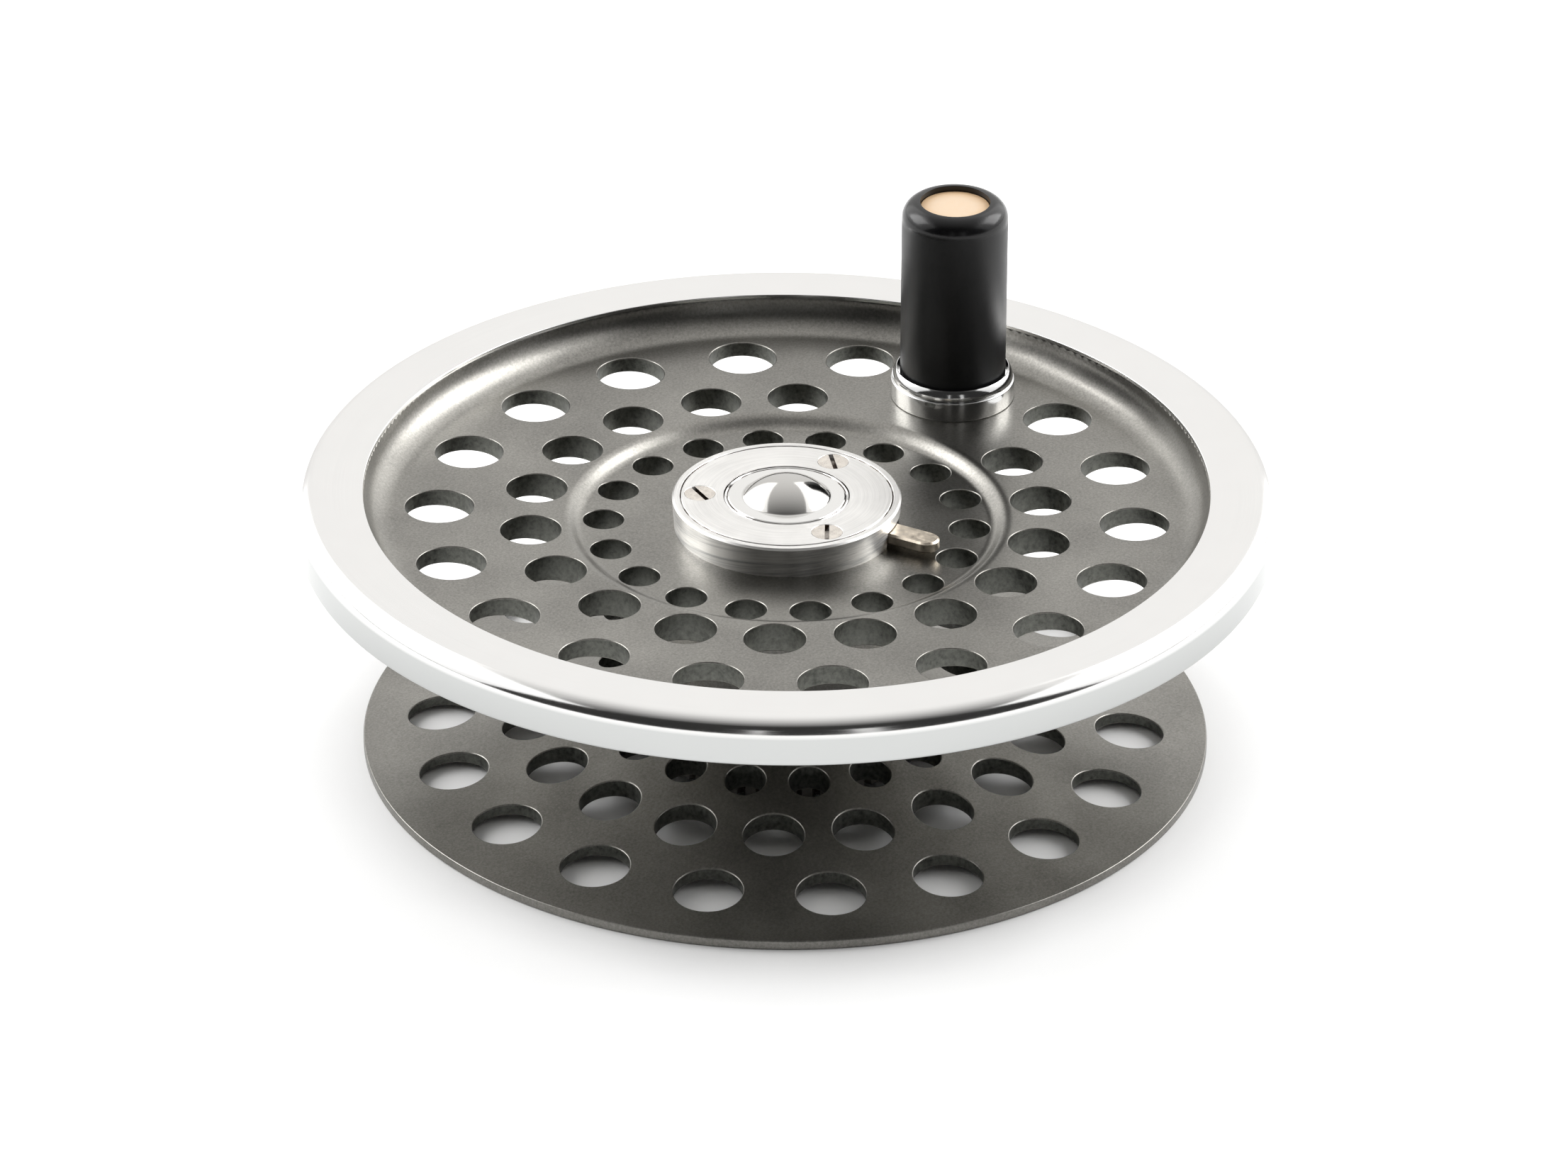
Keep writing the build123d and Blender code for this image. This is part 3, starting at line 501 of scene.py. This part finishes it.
def cream_plug():
    """Cream resin, browner towards its edge."""
    look = Look("cream_plug", (0.93, 0.71, 0.45), 0.0, 0.42, 0.4)
    _, _, radius, _ = look.about_axis(HANDLE_X)
    edge = look.ranged(radius, 0, 1, 2.0, 3.35)
    warm = look.node("ShaderNodeMix", data_type="RGBA")
    warm.inputs["A"].default_value = (0.67, 0.535, 0.40, 1)
    warm.inputs["B"].default_value = (0.69, 0.45, 0.24, 1)
    fleck = look.math("MULTIPLY", look.noise(0.5, 4), 0.35)
    look.link(look.math("ADD", look.math("MULTIPLY", edge, 0.75), fleck), warm.inputs["Factor"])
    look.link(warm.outputs["Result"], look.shader.inputs["Base Color"])
    look.rough(look.ranged(look.noise(0.8, 3), 0.36, 0.5))
    look.bump(look.noise(0.25, 3), 0.006, 0.5)
    return look.made


def white_washer():
    look = Look("white_washer", (0.82, 0.80, 0.75), 0.0, 0.5, 0.4)
    mottle = look.noise(0.6, 3)
    look.tint(mottle, 0.9, 1.05)
    look.rough(look.ranged(mottle, 0.42, 0.58))
    return look.made


# ------------------------------------------------------------------ mesh tools
def arc(start, middle, end, steps=24):
    """Points along the circle through three points, both ends included."""
    (ax, ay), (bx, by), (cx, cy) = start, middle, end
    d = 2 * (ax * (by - cy) + bx * (cy - ay) + cx * (ay - by))
    aa, bb, cc = ax * ax + ay * ay, bx * bx + by * by, cx * cx + cy * cy
    ux = (aa * (by - cy) + bb * (cy - ay) + cc * (ay - by)) / d
    uy = (aa * (cx - bx) + bb * (ax - cx) + cc * (bx - ax)) / d
    radius = math.hypot(ax - ux, ay - uy)
    first = math.atan2(ay - uy, ax - ux)
    turn = (math.atan2(cy - uy, cx - ux) - first + math.pi) % (2 * math.pi) - math.pi
    angles = [first + turn * i / steps for i in range(steps + 1)]
    return [(ux + radius * math.cos(a), uy + radius * math.sin(a)) for a in angles]


def outline(*corners):
    """Closed outline of (r, h) or (r, h, rounding) corners, with each rounding as an arc."""
    points = []
    count = len(corners)
    for i, corner in enumerate(corners):
        here = Vector(corner[:2])
        if len(corner) < 3:
            points.append(tuple(here))
            continue
        back = (Vector(corners[i - 1][:2]) - here).normalized()
        on = (Vector(corners[(i + 1) % count][:2]) - here).normalized()
        half = back.angle(on) / 2
        reach = corner[2] / math.tan(half)
        centre = here + (back + on).normalized() * (corner[2] / math.sin(half))
        middle = centre + (here - centre).normalized() * corner[2]
        points += arc(here + back * reach, middle, here + on * reach, CORNER_STEPS)
    return points


def round_over(start, end, steps=12):
    """Arc that leaves start straight up and leans inwards to end."""
    width, height = start[0] - end[0], end[1] - start[1]
    radius = (width ** 2 + height ** 2) / (2 * width)
    whole = math.asin(height / radius)
    centre_r = start[0] - radius
    angles = [whole * i / steps for i in range(steps + 1)]
    return [(centre_r + radius * math.cos(a), start[1] + radius * math.sin(a)) for a in angles]


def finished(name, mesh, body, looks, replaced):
    """Links a new piece, gives it its materials, puts it on its CAD body and hides the CAD parts that it
    replaces.
    """
    piece = bpy.data.objects.new(name, mesh)
    bpy.context.scene.collection.objects.link(piece)
    for look in looks:
        mesh.materials.append(look)
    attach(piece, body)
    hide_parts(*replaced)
    return piece


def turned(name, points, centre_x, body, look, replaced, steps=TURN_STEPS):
    """Solid of revolution of a closed (r, h) outline about an upright axis."""
    work = bmesh.new()
    rings = []
    for r, h in points:
        z = (h + FACE_Z) * MM
        if r < 1e-6:
            rings.append([work.verts.new((centre_x * MM, 0, z))])
            continue
        angles = [2 * math.pi * i / steps for i in range(steps)]
        rings.append([
            work.verts.new(((centre_x + r * math.cos(a)) * MM, r * math.sin(a) * MM, z)) for a in angles
        ])
    for lower, upper in zip(rings, rings[1:] + rings[:1]):
        for i in range(steps):
            j = (i + 1) % steps
            below = [lower[k % len(lower)] for k in (i, j)]
            above = [upper[k % len(upper)] for k in (j, i)]
            corners = list(dict.fromkeys(below + above))
            if len(corners) > 2:
                work.faces.new(corners)
    bmesh.ops.recalc_face_normals(work, faces=work.faces)
    mesh = bpy.data.meshes.new(name)
    work.to_mesh(mesh)
    work.free()
    mesh.shade_smooth()
    mesh.set_sharp_from_angle(angle=SHARP)
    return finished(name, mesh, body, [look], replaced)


class Plate:
    """Perforated turned plate: two skins over (r, h) lines, joined by hole walls and edges."""

    def __init__(self):
        self.points, self.faces, self.normals, self.kinds = [], [], [], []

    def ring(self, centre, radius, steps, height_of):
        first = len(self.points)
        for i in range(steps):
            a = 2 * math.pi * i / steps
            x, y = centre[0] + radius * math.cos(a), centre[1] + radius * math.sin(a)
            self.points.append((x, y, height_of(math.hypot(x, y))))
        return list(range(first, first + steps))

    def face(self, corners, normals, kind=0):
        self.faces.append(corners)
        self.normals.append(normals)
        self.kinds.append(kind)

    def skin(self, line, holes, up):
        """Skin over an (r, h) line with its holes open: its loops, height and normal functions."""
        radii, heights = np.array(line).T

        def height_of(r):
            return float(np.interp(r, radii, heights))

        def normal_at(k):
            x, y, _ = self.points[k]
            r = math.hypot(x, y)
            slope = (height_of(r + SLOPE_REACH) - height_of(r - SLOPE_REACH)) / (2 * SLOPE_REACH)
            n = Vector((-slope * x / r, -slope * y / r, 1)).normalized()
            return n if up else -n

        start = len(self.points)
        hole_loops = [self.ring(c, r + HOLE_EDGE, HOLE_STEPS, height_of) for c, r in holes]
        rings = [self.ring((0, 0), r, TURN_STEPS, height_of) for r in radii[[0, -1]]]
        flat = [Vector(p[:2]) for p in self.points[start:]]
        edges = []
        for loop in hole_loops + rings:
            local = [i - start for i in loop]
            edges += list(zip(local, local[1:] + local[:1]))
        places = np.array([c for c, _ in holes])
        reach = np.array([r + HOLE_EDGE for _, r in holes])
        for k, r in enumerate(radii[1:-1]):
            for i in range(TURN_STEPS):
                a = 2 * math.pi * (i + 0.5 * (k % 2)) / TURN_STEPS
                spot = np.array((r * math.cos(a), r * math.sin(a)))
                if (np.hypot(*(places - spot).T) > reach + POINT_GAP).all():
                    flat.append(Vector(spot))
                    self.points.append((*spot, height_of(r)))
        _, _, triangles, source, _, _ = delaunay_2d_cdt(flat, edges, [], 0, 1e-5)
        for triangle in triangles:
            corners = [source[i][0] for i in triangle]
            middle = sum((flat[i] for i in corners), Vector((0, 0))) / 3
            r = middle.length
            in_hole = (np.hypot(*(places - np.array(middle)).T) < reach - 0.01).any()
            if in_hole or not radii[0] < r < radii[-1]:
                continue
            a, b, c = (flat[i] for i in corners)
            if ((b - a).cross(c - a) > 0) != up:
                corners.reverse()
            self.face([i + start for i in corners], [normal_at(i + start) for i in corners])
        return rings[0], rings[1], hole_loops, height_of, normal_at

    def band(self, first, second, first_normal, second_normal, kind=0):
        """Quads between two loops, each with a function that gives its points' normals."""
        count = len(first)
        for i in range(count):
            j = (i + 1) % count
            corners = [first[i], second[i], second[j], first[j]]
            a, b, c = (Vector(self.points[k]) for k in corners[:3])
            normals = [first_normal(first[i]), second_normal(second[i])]
            normals += [second_normal(second[j]), first_normal(first[j])]
            if (b - a).cross(c - b).dot(sum(normals, Vector())) < 0:
                corners.reverse()
                normals.reverse()
            self.face(corners, normals, kind)

    def inward_to(self, centre):
        return lambda k: (Vector((*centre, 0)) - Vector((*self.points[k][:2], 0))).normalized()

    def wall(self, centre, radius, top, bottom):
        """Wall of a round hole with rounded edges. top and bottom: loop, height and normal functions."""
        inward = self.inward_to(centre)

        def edge(height_of, sign):
            half = HOLE_EDGE * (1 - math.sqrt(0.5))
            middle = self.ring(centre, radius + half, HOLE_STEPS, lambda r: height_of(r) - sign * half)
            end = self.ring(centre, radius, HOLE_STEPS, lambda r: height_of(r) - sign * HOLE_EDGE)
            return (middle, lambda k: (inward(k) + sign * UP).normalized()), (end, inward)

        upper, lower = edge(top[1], 1), edge(bottom[1], -1)
        stages = [(top[0], top[2]), *upper, *lower[::-1], (bottom[0], bottom[2])]
        for (a, a_normal), (b, b_normal) in zip(stages, stages[1:]):
            self.band(a, b, a_normal, b_normal, kind=1 if a is upper[1][0] else 0)

    def pocket(self, centre, radius, depth_h, loop, normal_at):
        """Blind round hole from below, up to a height."""
        inward = self.inward_to(centre)
        foot = self.ring(centre, radius, HOLE_STEPS, lambda r: self.points[loop[0]][2] + HOLE_EDGE)
        roof = self.ring(centre, radius, HOLE_STEPS, lambda r: depth_h)
        self.band(loop, foot, normal_at, inward)
        self.band(foot, roof, inward, inward)
        self.face(roof[::-1], [-UP] * HOLE_STEPS)

    def piece(self, name, body, slot, looks, replaced):
        mesh = bpy.data.meshes.new(name)
        scaled = [(x * MM, y * MM, (z + FACE_Z) * MM) for x, y, z in self.points]
        mesh.from_pydata(scaled, [], self.faces)
        mesh.polygons.foreach_set("material_index", self.kinds)
        mesh.shade_smooth()
        mesh.normals_split_custom_set([n for corners in self.normals for n in corners])
        mesh.update()
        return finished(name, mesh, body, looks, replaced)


def polar(radius, angle):
    return (radius * math.cos(math.radians(angle)), radius * math.sin(math.radians(angle)))


def perforations(leave_out):
    """(centre, radius) of every hole, without the places that the handle takes if leave_out."""
    found = []
    for ring_r, hole_r, first, omitted in RINGS:
        for n in range(HOLE_COUNT):
            if not (leave_out and n in omitted):
                found.append((polar(ring_r, first + n * HOLE_STEP), hole_r))
    return found


def outward_from_axis(plate):
    return lambda k: Vector((*plate.points[k][:2], 0)).normalized()


def front_flange(looks):
    """Front plate: hub recess, perforated face, sweep up to the rim, and dished line side."""
    plate = Plate()
    edge_h = RIM_TOP - RIM_LIP
    edge_r = SWEEP_FOOT_R + math.sqrt(RIM_TOP ** 2 - RIM_LIP ** 2)
    diagonal = RIM_TOP * math.sin(math.radians(45))
    sweep = arc((SWEEP_FOOT_R, 0), (SWEEP_FOOT_R + diagonal, RIM_TOP - diagonal), (edge_r, edge_h), 22)
    recess_foot = (RECESS_FOOT_R, FLOOR_H, RECESS_FOOT_ROUND)
    recess_top = (RECESS_R, 0, RECESS_TOP_ROUND)
    step = outline(recess_foot, recess_top, (SWEEP_FOOT_R, 0), (SLEEVE_R, FLOOR_H))[:-2]
    recess = [(SLEEVE_R, FLOOR_H)] + [(r, FLOOR_H) for r in RECESS_RINGS]
    top_line = recess + step + [(r, 0) for r in FACE_RINGS] + sweep + [(RIM_SEAT_R, edge_h)]
    under = arc((ARBOR_R, ARBOR_TOP), FRONT_LINE_SIDE, (RIM_SEAT_R, RIM_FOOT), 20)
    under_line = [(SLEEVE_R, ARBOR_TOP)] + under
    holes = perforations(True)
    inner, outer, loops, top_height, top_normal = plate.skin(top_line, holes, True)
    rivet = ((HANDLE_X, 0), RIVET_R)
    inner_2, outer_2, loops_2, low_height, low_normal = plate.skin(under_line, holes + [rivet], False)
    for (centre, radius), a, b in zip(holes, loops, loops_2):
        plate.wall(centre, radius, (a, top_height, top_normal), (b, low_height, low_normal))
    plate.pocket(*rivet, RIVET_H + RIVET_GAP, loops_2[-1], low_normal)
    facing = outward_from_axis(plate)
    plate.band(outer, outer_2, facing, facing)
    plate.band(inner, inner_2, lambda k: -facing(k), lambda k: -facing(k))
    return plate.piece("front_plate", "spool", "anodised", looks, ["front_flange"])


def back_flange(looks):
    """Back plate: a thin dished disc that stands on the flat land along its edge."""
    plate = Plate()
    rim_h = BACK_EDGE_H + BACK_EDGE
    over = arc((ARBOR_R, ARBOR_FOOT), BACK_LINE_SIDE, (BACK_R - HOLE_EDGE, rim_h), 26)
    under = arc((GEAR_SEAT_R, GEAR_TOP), BACK_UNDERSIDE, (BACK_LAND_R, BACK_EDGE_H), 26)
    holes = perforations(False)
    over_line = [(SLEEVE_R, ARBOR_FOOT)] + over
    under_line = [(SLEEVE_R, GEAR_TOP)] + under + [(BACK_R - HOLE_EDGE, BACK_EDGE_H)]
    inner, outer, loops, top_height, top_normal = plate.skin(over_line, holes, True)
    inner_2, outer_2, loops_2, low_height, low_normal = plate.skin(under_line, holes, False)
    for (centre, radius), a, b in zip(holes, loops, loops_2):
        plate.wall(centre, radius, (a, top_height, top_normal), (b, low_height, low_normal))
    facing = outward_from_axis(plate)
    shoulder = plate.ring((0, 0), BACK_R, TURN_STEPS, lambda r: rim_h - HOLE_EDGE)
    foot = plate.ring((0, 0), BACK_R, TURN_STEPS, lambda r: BACK_EDGE_H + HOLE_EDGE)
    plate.band(outer, shoulder, top_normal, facing)
    plate.band(shoulder, foot, facing, facing)
    plate.band(foot, outer_2, facing, low_normal)
    plate.band(inner, inner_2, lambda k: -facing(k), lambda k: -facing(k))
    return plate.piece("back_plate", "spool", "anodised", looks, ["back_flange"])


# ------------------------------------------------------------------ the pieces
def make_rim(metal):
    rim = outline(
        (RIM_INNER_R, RIM_TOP - RIM_LIP), (RIM_INNER_R, RIM_TOP, 0.1), (RIM_R, RIM_TOP, RIM_ROUND),
        (RIM_R, RIM_FOOT, RIM_FOOT_ROUND), (SKIRT_R, RIM_FOOT, RIM_FOOT_ROUND),
        (SKIRT_R, RIM_TOP - RIM_ROUND), (RIM_SEAT_R, RIM_TOP - RIM_ROUND), (RIM_SEAT_R, RIM_TOP - RIM_LIP),
    )
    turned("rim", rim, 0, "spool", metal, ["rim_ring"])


def make_collar(metal):
    """Stepped collar: a drum, a fine groove and a rounded shoulder that leans in to the lip."""
    drum = outline(
        (COLLAR_BORE_R, 0), (COLLAR_R, 0, 0.12), (COLLAR_R, COLLAR_STEP_H - 0.05, 0.1),
        (COLLAR_GROOVE_R, COLLAR_STEP_H),
    )
    shoulder = round_over((COLLAR_STEP_R, COLLAR_STEP_H + 0.12), (COLLAR_LIP_R, COLLAR_TOP))
    lip = [(COLLAR_INNER_R + 0.02, COLLAR_TOP - 0.01), (COLLAR_INNER_R, COLLAR_TOP - 0.05)]
    inside = [(COLLAR_INNER_R, COLLAR_FLOOR), (COLLAR_BORE_R, COLLAR_FLOOR)]
    collar = drum + shoulder + lip + inside
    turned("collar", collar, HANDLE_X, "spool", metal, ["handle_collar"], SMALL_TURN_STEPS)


def make_grip(resin):
    mouth_foot = GRIP_TOP - GRIP_MOUTH_DEPTH
    grip = outline(
        (LINER_R, GRIP_FOOT), (GRIP_R, GRIP_FOOT, GRIP_HEEL), (GRIP_R, GRIP_TOP, GRIP_SHOULDER),
        (GRIP_MOUTH_R, GRIP_TOP, 0.04), (GRIP_MOUTH_R, mouth_foot), (LINER_R, mouth_foot),
    )
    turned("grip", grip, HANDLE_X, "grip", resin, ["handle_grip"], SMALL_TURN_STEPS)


def make_plug(resin):
    plug = outline((0, PLUG_FOOT), (PLUG_R, PLUG_FOOT), (PLUG_R, PLUG_TOP, PLUG_ROUND), (0, PLUG_TOP))
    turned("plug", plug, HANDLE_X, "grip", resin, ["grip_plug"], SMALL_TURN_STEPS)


def make_cap(metal):
    """Cap with its dome, a fine line near its edge, and a hollow over the spindle's end."""
    flat_h = COVER_TOP - CAP_SUNK
    line_h = flat_h - CAP_LINE_DEPTH
    dome_rise = DOME_TOP - flat_h
    ball_r = (DOME_R ** 2 + dome_rise ** 2) / (2 * dome_rise)
    middle = (DOME_R / 2, DOME_TOP - ball_r + math.sqrt(ball_r ** 2 - DOME_R ** 2 / 4))
    crown = arc((0, DOME_TOP), middle, (DOME_R, flat_h), 24)
    foot = outline((*crown[-2],), (*crown[-1], DOME_FOOT_ROUND), (DOME_FOOT_R, flat_h))[1:]
    beads = [(CAP_BEAD_IN_R, flat_h), (CAP_LINE_R, line_h), (CAP_BEAD_OUT_R, flat_h), (CAP_R, line_h)]
    hollow = [(CAP_R, CAP_SEAT), (CAP_BORE_R, CAP_SEAT), (DOME_BORE_R, COVER_TOP + DOME_BORE_RISE)]
    cap = crown[:-1] + foot[:-1] + beads + hollow + [(0, DOME_TOP - DOME_SHELL)]
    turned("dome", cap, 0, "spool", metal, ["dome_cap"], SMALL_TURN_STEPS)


# looks of the pieces that keep their CAD meshes
LOOK_OF = {
    "latch_cover": "cover", "cover_screws": "cover_screw", "latch_lever": "lever", "arbor": "anodised",
    "check_gear": "gear", "spindle_sleeve": "brass", "front_bush": "bronze", "rear_bush": "bronze",
    "gear_screws": "screw", "hub_screws": "screw", "handle_post": "steel", "grip_liner": "brass",
    "latch_spring": "steel", "latch_pin": "steel", "latch_washer": "bronze", "thrust_washer": "washer",
    "grip_washer": "steel", "grip_screw": "screw",
}

make_camera()
make_stage()
look = {
    "anodised": anodised(),
    "wall": hole_wall(),
    "rim": rim_metal(),
    "dome": cap_metal(),
    "cover": cover_metal(),
    "collar": collar_metal(),
    "cover_screw": nickel("cover_screw", (0.74, 0.69, 0.63), 0.27, COVER_TOP - 0.06),
    "lever": nickel("lever", (0.80, 0.71, 0.59), 0.33),
    "screw": nickel("screw", (0.74, 0.69, 0.63), 0.27),
    "steel": nickel("steel", (0.56, 0.55, 0.53), 0.3),
    "gear": nickel("gear", (0.30, 0.29, 0.27), 0.34),
    "bronze": nickel("bronze", (0.62, 0.42, 0.22), 0.36),
    "brass": nickel("brass", (0.74, 0.57, 0.28), 0.3),
    "washer": white_washer(),
    "grip": black_grip(),
    "plug": cream_plug(),
}
front_flange([look["anodised"], look["wall"]])
back_flange([look["anodised"], look["wall"]])
make_rim(look["rim"])
make_collar(look["collar"])
make_grip(look["grip"])
make_plug(look["plug"])
make_cap(look["dome"])
for name, node in nodes.items():
    node.data.materials.clear()
    node.data.materials.append(look[LOOK_OF.get(name, "anodised")])

bpy.context.scene.view_settings.view_transform = "Standard"
